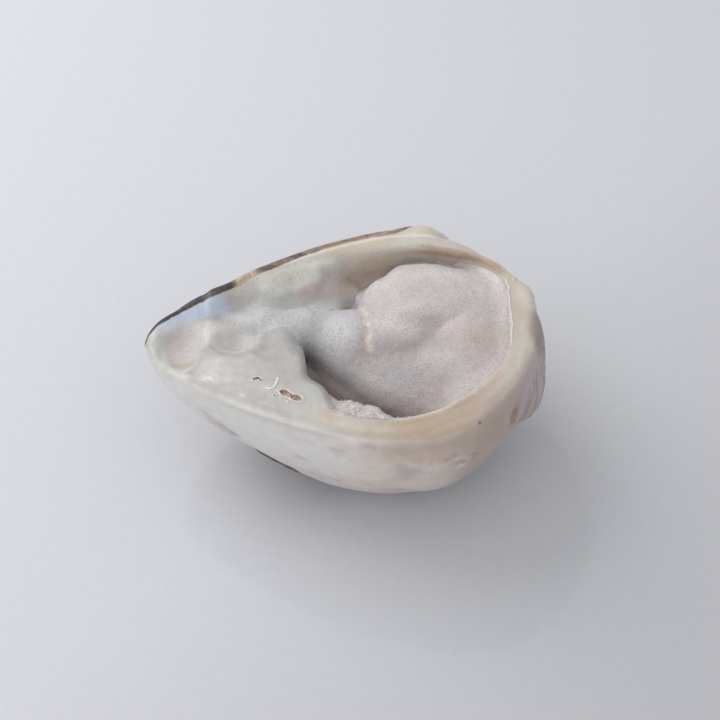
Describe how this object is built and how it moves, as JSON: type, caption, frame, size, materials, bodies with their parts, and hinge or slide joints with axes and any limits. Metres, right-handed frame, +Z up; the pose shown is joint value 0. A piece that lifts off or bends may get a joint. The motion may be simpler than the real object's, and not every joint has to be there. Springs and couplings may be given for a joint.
{
  "type": "crystallized fossil shell",
  "caption": "Teardrop fossil snail shell ground open along one side, with a polished rim and a sugar-crystal lining over the rounded inner whorl.",
  "frame": {"origin": "middle of the bounding box, on the surface that the worn belly flat rests on", "axes": "+X along the shell towards its blunt base, +Z up through the ground-open side"},
  "size_m": [0.0458, 0.0332, 0.02],
  "materials": {
    "chalcedony": "waxy polished cream-white agate, with brown and black weathered skin on the far edge and underside",
    "sugar_quartz": "fine sparkling sugar crystals, pale pinkish grey"
  },
  "bodies": {
    "root": {"fossil_shell": "chalcedony", "druzy_crust": "sugar_quartz"}
  },
  "joints": []
}
